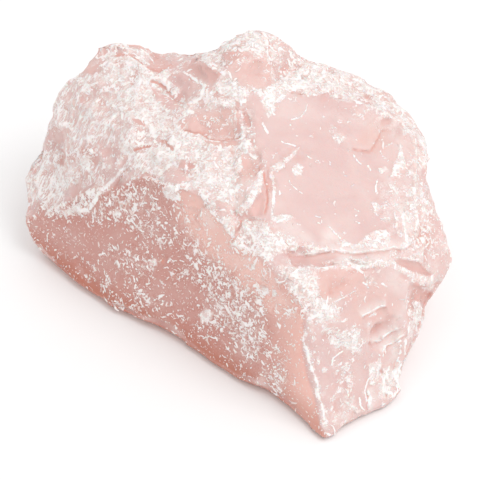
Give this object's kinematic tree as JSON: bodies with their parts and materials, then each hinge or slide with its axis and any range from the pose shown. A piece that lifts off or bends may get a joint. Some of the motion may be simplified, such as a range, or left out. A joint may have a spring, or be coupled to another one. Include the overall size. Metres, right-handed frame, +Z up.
{
  "type": "pink opal specimen",
  "caption": "Raw broken chunk of pink common opal with flat, stepped and chipped faces, resting on a flat base.",
  "frame": {"origin": "centre of the stone's box, on the flat face that it rests on", "axes": "+Z up, +X along the stone's length, from its rough end to its shoulder, -Y towards its near tip"},
  "size_m": [0.0824, 0.0782, 0.0455],
  "materials": {
    "opal": "waxy broken faces, whitish where bruised"
  },
  "bodies": {
    "root": {"pink_opal_stone": "opal"}
  },
  "joints": []
}
